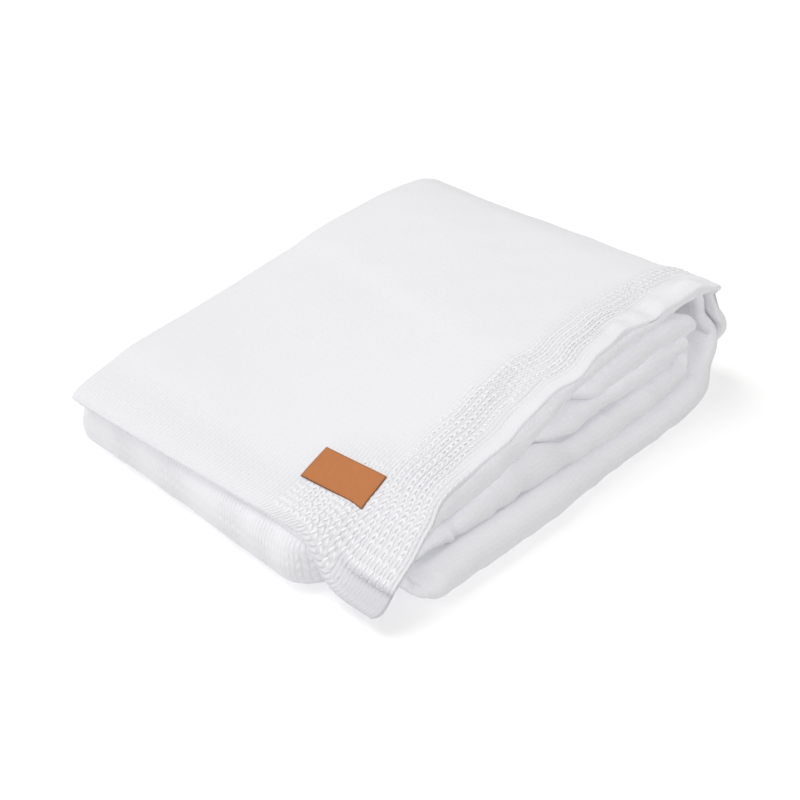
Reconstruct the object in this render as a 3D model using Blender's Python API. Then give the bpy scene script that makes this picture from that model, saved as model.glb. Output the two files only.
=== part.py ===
"""A chunky knitted bedspread folded into a pile, with a small leather patch.

The cloth is a long strip folded in thirds across its width, so it is three layers thick. That
bundle is folded over and over along its length. A table holds the line the bundle follows, seen
from its open end, at that near end and at the far one. Lengths in the tables are millimetres.
"""

import bpy
import bmesh
import numpy as np
from mathutils import Vector
from mathutils.bvhtree import BVHTree

MM = 0.001
CLOTH = 6.0
LAYER_GAP = 1.6
LAYER_STEP = CLOTH + LAYER_GAP
DEPTH = 380.0
BASE = LAYER_STEP + CLOTH / 2
STATIONS = 82
SAMPLES = 30
BEND_WEIGHT = 4.0

UP_REACH = 11.0
DOWN_REACH = 14.0
LIP_POWER = 6.0

# The line the middle of the bundle follows, from the hem on top to the hidden end inside.
# near and far: x and z of the line at the near and far ends. lip: how much x and z differ
# close to the near end alone, up to a depth of reach. press: the bundle's thickness as a share
# of its free one. edge: y of the outer layer's side edge at the near end. fold: y of the near
# fold of the other two layers. up and down: how far that fold swells towards the outer layer
# and away from it.
PATH_COLUMNS = (
    "name", "near_x", "near_z", "far_x", "far_z", "lip_x", "lip_z", "reach", "press",
    "edge", "fold", "up", "down",
)
PATH = (
    ("hem", -2, 57, -13, 60, -1, -43, 72, 0.42, 5, 9, 0, 0),
    ("roll", 4, 59.5, -7, 64, -3, -41, 70, 0.52, -2, 5, 0, 0),
    ("flap", 14, 61, 5, 68, -3, -30, 66, 0.64, -5, 5, 0, 0),
    ("valley", 34, 62.5, 30, 73, 3, -13, 60, 0.74, -4, 6, 0, 0),
    ("top_a", 60, 68, 60, 79, 2, -2, 54, 0.88, 0, 8, 0, 8),
    ("top_b", 90, 77, 114, 82, -4, 3, 60, 1, 4, 7, 0, 15),
    ("top_c", 136, 89, 170, 87, 0, 0, 66, 1, 6, 4, 0, 18),
    ("top_d", 180, 99, 220, 93, 0, 0, 66, 1, 7, 3, 0, 15),
    ("top_e", 220, 107, 270, 98, 0, 0, 66, 1, 8, 4, 0, 6),
    ("top_f", 250, 112, 300, 103, 0, 0, 66, 1, 9, 8, 0, 3),
    ("top_g", 290, 115, 340, 106, 0, 3, 66, 1, 9, 9, 0, 2),
    ("top_h", 354, 117, 400, 108, 0, 6, 66, 1, 9, 10, 0, 0),
    ("top_i", 424, 117, 456, 104, 0, 8, 66, 1, 4, 12, 0, 0),
    ("nose", 467, 114, 489, 91, -6, 9, 66, 0.92, -3, 14, 0, 0),
    ("notch", 483, 103, 497, 78, -12, 5, 66, 0.92, 10, 16, 0, 0),
    ("turn_a", 498, 86, 501, 66, -17, 0, 66, 1, 8, 17, 0, 0),
    ("turn_b", 503, 60, 500, 44, -5, 0, 66, 1, 8, 12, 0, 0),
    ("turn_c", 484, 31, 487, 22, 0, 0, 66, 1, 28, 4, 3, 4),
    ("turn_d", 452, 14, 464, 12, 0, 0, 66, 1, 28, -10, 6, 6),
    ("base_a", 400, BASE, 420, BASE, 0, 0, 66, 1, 26, -14, 7.6, 6),
    ("base_b", 300, BASE, 320, BASE, 0, 0, 66, 1, 26, -14, 7.6, 7),
    ("base_c", 200, BASE, 210, BASE, 0, 0, 66, 1, 24, -20, 7.6, 15),
    ("base_d", 116, BASE, 100, BASE, 0, 0, 66, 1, 24, -18, 7.6, 15),
    ("base_e", 46, BASE, 40, BASE, 18, 0, 66, 0.98, 28, -16, 7, 11),
    ("left_a", 0, 10.7, 15, 10.7, 50, 0, 74, 0.86, 32, -8, 2, 0),
    ("left_b", -10.5, 15, 3, 15, 52, 0, 74, 0.7, 30, 2, 0, 0),
    ("left_c", -14.5, 27, 0, 28, 54, -3, 74, 0.7, 30, 10, 0, 0),
    ("left_d", -11, 39.5, 3, 42, 55, -6, 74, 0.7, 34, 20, 0, 0),
    ("left_e", 0, 43.5, 13, 48, 52, -7, 74, 0.8, 38, 17, 0, 0),
    ("low_a", 46, 38, 56, 46, 38, -4, 74, 0.96, 39, 8, 12, -9),
    ("low_b", 112, 34.4, 110, 38, 0, 1, 66, 1, 42, 2, 16, -9),
    ("low_c", 172, 34.4, 172, 34, 0, 0, 66, 1, 42, -2, 31, -9),
    ("low_d", 216, 34.4, 236, 34, 0, 0, 66, 1, 42, -3, 31, -8),
    ("low_e", 262, 34.4, 300, 34, 0, 5, 66, 1, 40, -4, 13, -4),
    ("low_f", 320, 34.4, 350, 34, 0, 10.6, 66, 1, 34, -4, 7, 3.6),
    ("low_g", 386, 34.4, 404, 34, 0, 10.6, 66, 1, 34, -2, 7, 3.6),
    ("inner_a", 432, 34.6, 448, 34.6, 0, 11.4, 66, 0.86, 36, 2, 3, 2),
    ("inner_b", 440.2, 38, 456.2, 38, 0, 12, 66, 0.72, 36, 8, 1, 1),
    ("inner_c", 443.6, 46, 459.6, 46, 0, 12, 66, 0.68, 36, 12, 1, 1),
    ("inner_d", 440.2, 54, 456.2, 54, 0, 12, 66, 0.72, 36, 10, 1, 1),
    ("inner_e", 432, 57.4, 448, 57.4, 0, 12, 66, 0.86, 36, 5, 3, 2),
    ("mid_a", 386, 57.4, 412, 57.4, 0, 12, 66, 1, 34, 2, 6, 4),
    ("mid_b", 324, 57.2, 384, 57.2, 0, 10, 66, 1, 36, 6, 4, 1),
    ("mid_c", 292, 57.2, 360, 57.2, 0, 9, 66, 1, 36, 8, 0, 0),
    ("mid_d", 262, 57.2, 340, 57.2, 0, 9.6, 66, 0.95, 32, 4, 5, 1),
    ("mid_e", 236, 57.2, 318, 57.2, 0, 11, 66, 0.85, 30, 9, 4, 0),
    ("back_a", 211, 57.3, 298, 57.3, 0, 11, 66, 0.7, 34, 20, 0, 0),
    ("back_b", 203, 60.5, 290, 60.5, 0, 10.5, 66, 0.62, 36, 24, 0, 0),
    ("back_c", 199.8, 68.5, 286.8, 68.5, 0, 9, 66, 0.6, 37, 25, 0, 0),
    ("back_d", 203, 76.5, 290, 76.5, 0, 7.5, 66, 0.62, 38, 26, 0, 0),
    ("back_e", 211, 79.7, 298, 79.7, 0, 6.8, 66, 0.7, 38, 24, 0, 0),
    ("high_a", 238, 79.8, 318, 79.8, 0, 8.5, 66, 0.85, 36, 18, 0, 0),
    ("hollow", 264, 79.8, 336, 79.8, 0, 11, 66, 1, 40, 30, 0, 0),
    ("lump", 292, 79.8, 354, 79.8, 0, 13, 66, 1, 38, 8, 1, 4),
    ("high_b", 324, 79.8, 380, 79.8, 0, 17, 66, 1, 34, 6, 4, 6),
    ("high_c", 392, 79.8, 418, 79.8, 0, 19.6, 66, 1, 34, 6, 5, 3),
    ("droop", 434, 79.2, 444, 79, 0, 17.6, 66, 1, 34, 4, 4, 2),
    ("end", 452, 77, 460, 77, 0, 11, 66, 0.9, 36, 8, 2, 0),
)

# Depths of a layer's points when its near edge is at zero. Those short of SHIFT_REACH move with
# the edge, so that from there back the layers have points at the same depths.
LAYER_DEPTHS = (0.0, 16.0, 40.0, 54.0, 66.0, 80.0, 130.0, 240.0, DEPTH - LAYER_STEP / 2)
SHIFT_REACH = 54.0

PATCH_LONG = 68.0
PATCH_SHORT = 36.5
PATCH_TURN_DEG = 5.3
PATCH_THICK = 1.6
PATCH_LIFT = 0.6
PATCH_CENTRE = (59.0, 96.0)
PATCH_ROWS = 8
PATCH_CELLS_LONG = 12
PATCH_CELLS_SHORT = 6

ORIGIN_X = 247.6
ORIGIN_Y = 181.5


def column(name):
    """One column of the path table, as an array."""
    return np.array([row[PATH_COLUMNS.index(name)] for row in PATH], float)


def row_gaps():
    """How far each row of the path table is from the next, averaged over its two ends."""
    near = np.hypot(np.diff(column("near_x")), np.diff(column("near_z")))
    far = np.hypot(np.diff(column("far_x")), np.diff(column("far_z")))
    return (near + far) / 2


def along(values, t):
    """A smooth curve with no overshoot through the values, at row numbers t, whole or not."""
    gaps = row_gaps()
    before, after = gaps[:-1], gaps[1:]
    slopes = np.diff(values) / gaps
    rising = slopes[:-1] * slopes[1:] > 0
    first = np.where(rising, slopes[:-1], 1.0)
    second = np.where(rising, slopes[1:], 1.0)
    shares = (2 * after + before) / first + (after + 2 * before) / second
    inner = np.where(rising, 3 * (before + after) / shares, 0.0)
    slopes = np.concatenate([slopes[:1], inner, slopes[-1:]])
    t = np.clip(t, 0.0, len(values) - 1.000001)
    i = np.floor(t).astype(int)
    f = t - i
    h = f * f * (3 - 2 * f)
    bend = f * (1 - f) ** 2 * slopes[i] - f * f * (1 - f) * slopes[i + 1]
    return (1 - h) * values[i] + h * values[i + 1] + gaps[i] * bend


def line(t, y):
    """x and z of the bundle's middle line at row t and depth y."""
    share = np.clip(y / DEPTH, 0.0, 1.0)
    share = share * share * (3 - 2 * share)
    lip = np.exp(-((np.maximum(y, 0.0) / along(column("reach"), t)) ** LIP_POWER))
    x = along(column("near_x"), t) * (1 - share) + along(column("far_x"), t) * share
    z = along(column("near_z"), t) * (1 - share) + along(column("far_z"), t) * share
    return x + lip * along(column("lip_x"), t), z + lip * along(column("lip_z"), t)


def place(t, y, w):
    """The point w away from the line, to its left, as x, y and z."""
    x, z = line(t, y)
    step = 0.04
    xa, za = line(t - step, y)
    xb, zb = line(t + step, y)
    dx, dz = xb - xa, zb - za
    off = w * along(column("press"), t) / np.hypot(dx, dz)
    return np.stack([x - off * dz, np.broadcast_to(y, x.shape), z + off * dx], axis=-1)


def station_rows(count):
    """Row numbers of the stations, closer together where the line bends."""
    t = np.linspace(0, len(PATH) - 1, SAMPLES * (len(PATH) - 1) + 1)
    cost = np.zeros(len(t))
    for y in (0.0, DEPTH / 3, DEPTH):
        x, z = line(t, np.full(len(t), y))
        dx, dz = np.diff(x), np.diff(z)
        turn = np.abs(np.diff(np.unwrap(np.arctan2(dz, dx))))
        turn = np.append(turn, 0.0)
        cost[1:] += np.cumsum(np.hypot(dx, dz) / 28.0 + BEND_WEIGHT * turn)
    return np.interp(np.linspace(0, cost[-1], count), cost, t)


def layer_depths(first):
    """Depths of one layer's points, for a near edge at the given depth."""
    depths = np.array(LAYER_DEPTHS)
    return depths + first * np.clip(1 - depths / SHIFT_REACH, 0.0, 1.0)


def centre_line(t):
    """The strip's centre line across one station: arrays of y and w."""
    names = ("edge", "fold", "up", "down")
    edge, fold, up, down = (along(column(name), np.array([t]))[0] for name in names)
    far = LAYER_DEPTHS[-1]
    outer_y = layer_depths(edge + CLOTH / 2)
    nose = (up + LAYER_STEP + down) / 2
    start = fold + CLOTH / 2 + nose
    inner_y = layer_depths(start)
    middle_w = up * np.exp(-((inner_y - start) / UP_REACH) ** 2)
    lower_w = -LAYER_STEP - down * np.exp(-((inner_y - start) / DOWN_REACH) ** 2)
    angles = np.radians([45.0, 90.0, 135.0])
    far_y = far + np.sin(angles) * LAYER_STEP / 2
    far_w = LAYER_STEP / 2 + np.cos(angles) * LAYER_STEP / 2
    angles = np.radians([30.0, 60.0, 90.0, 120.0, 150.0])
    near_y = start - np.sin(angles) * nose
    near_w = up - nose + np.cos(angles) * nose
    y = np.concatenate([outer_y, far_y, inner_y[::-1], near_y, inner_y])
    w = np.concatenate([LAYER_STEP + 0 * outer_y, far_w, middle_w[::-1], near_w, lower_w])
    return y, w


def ring(t):
    """The strip's two faces at one station: the outer face's points, then the inner face's."""
    y, w = centre_line(t)
    dy, dw = np.gradient(y), np.gradient(w)
    size = np.hypot(dy, dw)
    off_y, off_w = -dw / size * CLOTH / 2, dy / size * CLOTH / 2
    rows = np.full(len(y), t)
    return place(rows, y + off_y, w + off_w), place(rows, y - off_y, w - off_w)


def cloth_mesh():
    """The folded cloth as one closed mesh."""
    rows = station_rows(STATIONS)
    faces = [ring(t) for t in rows]
    count = len(faces[0][0])
    mesh = bmesh.new()
    loops = []
    for upper, lower in faces:
        loop = np.concatenate([upper, lower[::-1]])
        loops.append([mesh.verts.new(point * MM) for point in loop])
    total = len(loops[0])
    for first, second in zip(loops, loops[1:]):
        for i in range(total):
            j = (i + 1) % total
            mesh.faces.new((first[i], first[j], second[j], second[i]))
    for loop, flip in ((loops[0], True), (loops[-1], False)):
        for i in range(count - 1):
            face = [loop[i], loop[i + 1], loop[total - 2 - i], loop[total - 1 - i]]
            mesh.faces.new(face[::-1] if flip else face)
    return mesh


def patch_mesh(cloth):
    """The leather patch, laid on the cloth under it."""
    under = BVHTree.FromBMesh(cloth)
    rows = np.linspace(0, PATCH_ROWS, 100 * PATCH_ROWS)
    turn = np.radians(PATCH_TURN_DEG)
    mesh = bmesh.new()
    grid = []
    for v in np.linspace(-PATCH_SHORT / 2, PATCH_SHORT / 2, PATCH_CELLS_SHORT + 1):
        points = []
        for u in np.linspace(-PATCH_LONG / 2, PATCH_LONG / 2, PATCH_CELLS_LONG + 1):
            y = PATCH_CENTRE[1] + u * np.cos(turn) + v * np.sin(turn)
            x, z = line(rows, np.full(len(rows), y))
            length = np.append(0.0, np.cumsum(np.hypot(np.diff(x), np.diff(z))))
            length -= np.interp(PATCH_CENTRE[0], x, length)
            t = np.interp(v * np.cos(turn) - u * np.sin(turn), length, rows)
            top = place(np.array([t]), np.array([y]), np.array([BASE]))[0]
            above = Vector((top[0] * MM, y * MM, 1.0))
            spot, normal = under.ray_cast(above, Vector((0.0, 0.0, -1.0)))[:2]
            heights = (PATCH_LIFT, PATCH_LIFT + PATCH_THICK)
            points.append([mesh.verts.new(spot + normal * (h * MM)) for h in heights])
        grid.append(points)
    for near, far in zip(grid, grid[1:]):
        for a, b, c, d in zip(near, far, far[1:], near[1:]):
            mesh.faces.new((a[0], b[0], c[0], d[0]))
            mesh.faces.new((d[1], c[1], b[1], a[1]))
    rim = grid[0][:-1] + [points[-1] for points in grid[:-1]]
    rim += grid[-1][:0:-1] + [points[0] for points in grid[:0:-1]]
    for a, b in zip(rim, rim[1:] + rim[:1]):
        mesh.faces.new((a[0], b[0], b[1], a[1]))
    return mesh


def material(name, colour, roughness):
    """A plain surface of one colour."""
    made = bpy.data.materials.new(name)
    made.use_nodes = True
    surface = made.node_tree.nodes["Principled BSDF"]
    surface.inputs["Base Color"].default_value = (*colour, 1.0)
    surface.inputs["Roughness"].default_value = roughness
    return made


def add(name, mesh, surface):
    """Puts a mesh in the scene, moved so that the pile stands centred on the origin."""
    for vert in mesh.verts:
        vert.co.x -= ORIGIN_X * MM
        vert.co.y -= ORIGIN_Y * MM
    bmesh.ops.recalc_face_normals(mesh, faces=mesh.faces)
    data = bpy.data.meshes.new(name)
    mesh.to_mesh(data)
    mesh.free()
    data.polygons.foreach_set("use_smooth", [True] * len(data.polygons))
    data.materials.append(surface)
    made = bpy.data.objects.new(name, data)
    bpy.context.scene.collection.objects.link(made)
    return made


def main():
    for old in list(bpy.data.objects):
        bpy.data.objects.remove(old, do_unlink=True)
    cloth = cloth_mesh()
    bmesh.ops.recalc_face_normals(cloth, faces=cloth.faces)
    patch = patch_mesh(cloth)
    add("knitted_cloth", cloth, material("white_cotton_knit", (0.86, 0.86, 0.88), 0.95))
    add("leather_patch", patch, material("tan_leather", (0.52, 0.19, 0.06), 0.6))


main()
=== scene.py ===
"""Dresses the folded knitted bedspread: its knit, hem, patch and sewing, with light and a camera."""

import logging
import math
from dataclasses import dataclass, field
from enum import Enum

import bpy
import numpy as np
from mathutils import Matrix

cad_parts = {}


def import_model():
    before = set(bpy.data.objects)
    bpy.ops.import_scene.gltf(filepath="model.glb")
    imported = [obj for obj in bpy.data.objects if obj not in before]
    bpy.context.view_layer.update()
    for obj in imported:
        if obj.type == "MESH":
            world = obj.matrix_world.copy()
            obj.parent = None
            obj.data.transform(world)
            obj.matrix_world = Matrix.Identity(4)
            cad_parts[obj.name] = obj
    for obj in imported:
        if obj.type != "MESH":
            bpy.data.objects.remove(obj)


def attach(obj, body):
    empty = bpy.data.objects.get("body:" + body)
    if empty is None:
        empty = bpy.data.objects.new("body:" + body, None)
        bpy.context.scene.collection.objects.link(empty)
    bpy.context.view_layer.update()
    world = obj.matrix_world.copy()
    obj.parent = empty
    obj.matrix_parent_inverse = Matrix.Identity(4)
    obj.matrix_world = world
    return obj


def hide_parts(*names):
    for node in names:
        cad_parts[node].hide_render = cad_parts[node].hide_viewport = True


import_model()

LOG = logging.getLogger("bedspread")
MM = 0.001
# The depth in the pile, in millimetres, at which distances along the cloth are usually measured.
MIDDLE_MM = 100.0
Array = np.ndarray


class Side(Enum):
    """Which face of the cloth a grid of points lies on."""

    RIGHT = 1
    WRONG = -1


def linear(code: str) -> tuple[float, float, float, float]:
    """Turns an sRGB hex code into a linear colour.

    Args:
        code: six hex digits, with or without a leading hash.

    Returns:
        Red, green, blue and an alpha of one.
    """
    digits = code.lstrip("#")
    shares = [int(digits[i : i + 2], 16) / 255 for i in (0, 2, 4)]
    found = [c / 12.92 if c <= 0.04045 else ((c + 0.055) / 1.055) ** 2.4 for c in shares]
    return (*found, 1.0)


def add_node(
    tree: bpy.types.NodeTree,
    kind: str,
    settings: dict[str, object] | None = None,
    inputs: dict[int | str, object] | None = None,
) -> bpy.types.Node:
    """Adds one node to a tree, with its settings and its inputs.

    Args:
        tree: the node tree.
        kind: the node's type name.
        settings: the node's own properties by name.
        inputs: a value, or an output socket to link from, by input name or number.

    Returns:
        The new node.
    """
    node = tree.nodes.new(kind)
    for name, value in (settings or {}).items():
        setattr(node, name, value)
    for name, value in (inputs or {}).items():
        if isinstance(value, bpy.types.NodeSocket):
            tree.links.new(value, node.inputs[name])
        else:
            node.inputs[name].default_value = value
    return node


def new_material(
    name: str, settings: dict[str, object]
) -> tuple[bpy.types.Material, bpy.types.NodeTree, bpy.types.Node]:
    """Makes a material with a Principled surface.

    Args:
        name: the material's name.
        settings: the surface's own inputs by name.

    Returns:
        The material, its node tree and the Principled node.
    """
    made = bpy.data.materials.new(name)
    made.use_nodes = True
    tree = made.node_tree
    tree.nodes.clear()
    surface = add_node(tree, "ShaderNodeBsdfPrincipled", None, settings)
    add_node(tree, "ShaderNodeOutputMaterial", None, {"Surface": surface.outputs["BSDF"]})
    return made, tree, surface


def before(x: Array, at: float | Array, width: float) -> Array:
    """A share that is one before a place and falls smoothly to nothing past it."""
    return 1 / (1 + np.exp(np.clip((x - at) / width, -500, 500)))


def past(x: Array, at: float | Array, width: float) -> Array:
    """A share that is nothing before a place and rises smoothly to one past it."""
    return 1 / (1 + np.exp(np.clip((at - x) / width, -500, 500)))


def hill(x: Array, at: float | Array, width: float | Array, power: int = 2) -> Array:
    """A share that is one at a place and nothing far from it, with a flatter top for a high power."""
    return np.exp(-(((x - at) / width) ** power))


def ramp(x: Array, start: float, length: float) -> Array:
    """A share that rises evenly from nothing to one over a length."""
    return np.clip((x - start) / length, 0, 1)


@dataclass(frozen=True)
class Wave:
    """A wave in the cloth: its height, and how far along and across it turns by one radian."""

    height: float
    along_mm: float
    across_mm: float = math.inf
    start: float = 0.0

    def at(self, s: Array, v: Array | float = 0.0, drift: Array | float = 0.0) -> Array:
        """The wave's height at distances along and across, where drift bends its crests."""
        return self.height * np.sin(s / self.along_mm + v / self.across_mm + self.start + drift)


@dataclass(frozen=True)
class CottonKnit:
    """Thick spun cotton yarn, knitted in plain stitches: matt, soft and slightly fuzzy.

    lean is how many stitches a strand would run ahead over a whole rib's width. bead and fuzz are
    shares of the knit's height, and dark is how much painted shade shows in the hollows between strands.
    """

    yarn: str = "#E9E9EC"
    # The hollow colour is painted shade, laid between the strands where shade falls.
    hollow: str = "#D9D9DD"
    # The hem colour is painted shade over the hem's front corner and, darker, along its seam line.
    hem: str = "#CACACF"
    rib_mm: float = 7.8
    stitch_mm: float = 6.6
    fuzz_mm: float = 1.3
    deep_mm: float = 1.6
    lean: float = 1.1
    bead: float = 0.3
    fuzz: float = 0.175
    dark: float = 0.9
    bump: float = 0.7
    roughness: float = 0.92
    gloss: float = 0.2
    sheen: float = 0.25

    def sums(self) -> tuple[tuple[str | float, ...], ...]:
        """The knit's height and its painted shade, a sum in each row: its name, its kind and what it takes.

        Returns:
            The rows, in which a word is an earlier row's result or one of the cloth's own values.
        """
        return (
            # Each rib is a column of V shapes: two strands that lean towards its middle.
            ("rib", "MULTIPLY", "across", 1000 / self.rib_mm),
            ("part", "FRACT", "rib"),
            ("off", "SUBTRACT", "part", 0.5),
            ("place", "ABSOLUTE", "off"),
            ("ahead", "MULTIPLY", "place", self.lean),
            ("row", "MULTIPLY", "along", 1000 / self.stitch_mm),
            ("turns", "ADD", "row", "ahead"),
            ("angle", "MULTIPLY", "turns", math.tau),
            ("wave", "COSINE", "angle"),
            # Across, each strand is a half circle.
            ("double", "MULTIPLY", "place", 4.0),
            ("strand", "SUBTRACT", "double", 1.0),
            ("square", "MULTIPLY", "strand", "strand"),
            ("fall", "SUBTRACT", 1.0, "square"),
            ("above", "MAXIMUM", "fall", 0.0),
            ("crown", "SQRT", "above"),
            ("bead", "MULTIPLY_ADD", "wave", self.bead, 1 - self.bead),
            ("height", "MULTIPLY", "crown", "bead"),
            ("scaled", "MULTIPLY", "height", "depth"),
            ("total", "MULTIPLY_ADD", "fuzz", self.fuzz, "scaled"),
            # Painted shade: the colour darkens to the hollow colour between the strands, where shade falls.
            ("low", "SUBTRACT", 1.0, "height"),
            ("drop", "MULTIPLY", "low", "depth"),
            ("dark", "MULTIPLY", "drop", self.dark),
            ("shade", "SUBTRACT", 1.0, "dark"),
        )

    def material(self, name: str) -> bpy.types.Material:
        """Builds the knit from the cloth's own coordinates, in metres along and across it.

        Args:
            name: the material's name.

        Returns:
            The material.
        """
        settings = {"Roughness": self.roughness, "Specular IOR Level": self.gloss}
        settings |= {"Sheen Weight": self.sheen, "Sheen Roughness": 0.5}
        made, tree, surface = new_material(name, settings)
        cloth = add_node(tree, "ShaderNodeUVMap", {"uv_map": "cloth"})
        parts = add_node(tree, "ShaderNodeSeparateXYZ", None, {0: cloth.outputs["UV"]})
        depth = add_node(tree, "ShaderNodeAttribute", {"attribute_name": "knit_depth"})
        where = add_node(tree, "ShaderNodeTexCoord").outputs["Object"]
        # The yarn's own twist and fuzz, far finer than a stitch.
        grain = {"Vector": where, "Scale": 1000 / self.fuzz_mm, "Detail": 3.0, "Roughness": 0.65}
        fuzz = add_node(tree, "ShaderNodeTexNoise", {"noise_dimensions": "3D"}, grain)
        found = {"along": parts.outputs[0], "across": parts.outputs[1]}
        found |= {"depth": depth.outputs["Fac"], "fuzz": fuzz.outputs["Fac"]}
        for step, operation, *values in self.sums():
            inputs = {i: found.get(value, value) for i, value in enumerate(values)}
            found[step] = add_node(tree, "ShaderNodeMath", {"operation": operation}, inputs).outputs[0]
        raised = {"Strength": self.bump, "Distance": self.deep_mm * MM, "Height": found["total"]}
        bump = add_node(tree, "ShaderNodeBump", None, raised)
        # Painted shade: the hollow colour shows where the strands sink.
        shades = {"Factor": found["shade"], 6: linear(self.hollow), 7: linear(self.yarn)}
        colour = add_node(tree, "ShaderNodeMix", {"data_type": "RGBA"}, shades)
        # Painted shade: the hem's front corner is coloured greyer, and its seam line darker still, where
        # shade falls.
        double = add_node(tree, "ShaderNodeAttribute", {"attribute_name": "hem_painted_shade"})
        mixed = {"Factor": double.outputs["Fac"], 6: colour.outputs[2], 7: linear(self.hem)}
        base = add_node(tree, "ShaderNodeMix", {"data_type": "RGBA", "clamp_factor": False}, mixed)
        tree.links.new(base.outputs[2], surface.inputs["Base Color"])
        tree.links.new(bump.outputs[0], surface.inputs["Normal"])
        return made


@dataclass(frozen=True)
class CottonThread:
    """Twisted cotton yarn or thread in plain strands: matt, with a fine twist."""

    colour: str = "#EDEDEF"
    twist_mm: float = 1.2
    deep_mm: float = 0.5
    bump: float = 0.5
    roughness: float = 0.9
    gloss: float = 0.2
    sheen: float = 0.2

    def material(self, name: str) -> bpy.types.Material:
        """Builds the thread.

        Args:
            name: the material's name.

        Returns:
            The material.
        """
        settings = {"Base Color": linear(self.colour), "Roughness": self.roughness}
        settings |= {"Specular IOR Level": self.gloss, "Sheen Weight": self.sheen, "Sheen Roughness": 0.5}
        made, tree, surface = new_material(name, settings)
        where = add_node(tree, "ShaderNodeTexCoord").outputs["Object"]
        grain = {"Vector": where, "Scale": 1000 / self.twist_mm, "Detail": 3.0, "Roughness": 0.7}
        twist = add_node(tree, "ShaderNodeTexNoise", {"noise_dimensions": "3D"}, grain)
        raised = {"Strength": self.bump, "Distance": self.deep_mm * MM, "Height": twist.outputs["Fac"]}
        bump = add_node(tree, "ShaderNodeBump", None, raised)
        tree.links.new(bump.outputs[0], surface.inputs["Normal"])
        return made


@dataclass(frozen=True)
class TannedLeather:
    """Vegetable-tanned cowhide, cut by heat: a satin tan face and a darker cut edge."""

    face: str = "#C07A45"
    mottle: str = "#B66E3A"
    edge: str = "#6E3A1C"
    cloud_mm: float = 6.25
    grain_mm: float = 0.9
    groove: float = 0.25
    deep_mm: float = 0.3
    bump: float = 0.35
    roughness: float = 0.58
    gloss: float = 0.4

    def material(self, name: str) -> bpy.types.Material:
        """Builds the leather, with its grain's grooves a share of a grain wide.

        Args:
            name: the material's name.

        Returns:
            The material.
        """
        settings = {"Roughness": self.roughness, "Specular IOR Level": self.gloss}
        made, tree, surface = new_material(name, settings)
        where = add_node(tree, "ShaderNodeTexCoord").outputs["Object"]
        patches = {"Vector": where, "Scale": 1000 / self.cloud_mm, "Detail": 4.0, "Roughness": 0.6}
        cloud = add_node(tree, "ShaderNodeTexNoise", None, patches)
        cells = {"Vector": where, "Scale": 1000 / self.grain_mm}
        grain = add_node(tree, "ShaderNodeTexVoronoi", {"feature": "DISTANCE_TO_EDGE"}, cells)
        burn = add_node(tree, "ShaderNodeAttribute", {"attribute_name": "burn"})
        tans = {"Factor": cloud.outputs["Fac"], 6: linear(self.face), 7: linear(self.mottle)}
        face = add_node(tree, "ShaderNodeMix", {"data_type": "RGBA"}, tans)
        burnt = {"Factor": burn.outputs["Fac"], 6: face.outputs[2], 7: linear(self.edge)}
        whole = add_node(tree, "ShaderNodeMix", {"data_type": "RGBA"}, burnt)
        steep = {0: grain.outputs["Distance"], 1: 1 / self.groove}
        slope = add_node(tree, "ShaderNodeMath", {"operation": "MULTIPLY"}, steep)
        fine = add_node(tree, "ShaderNodeMath", {"operation": "MINIMUM"}, {0: slope.outputs[0], 1: 1.0})
        raised = {"Strength": self.bump, "Distance": self.deep_mm * MM, "Height": fine.outputs[0]}
        bump = add_node(tree, "ShaderNodeBump", None, raised)
        tree.links.new(whole.outputs[2], surface.inputs["Base Color"])
        tree.links.new(bump.outputs[0], surface.inputs["Normal"])
        return made


@dataclass(frozen=True)
class StudioFloor:
    """A seamless white paper sweep: matt, with nothing on it."""

    colour: str = "#FDFDFD"

    def material(self, name: str) -> bpy.types.Material:
        """Builds the paper, under the name it is given."""
        settings = {"Base Color": linear(self.colour), "Roughness": 1.0, "Specular IOR Level": 0.0}
        return new_material(name, settings)[0]


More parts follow.
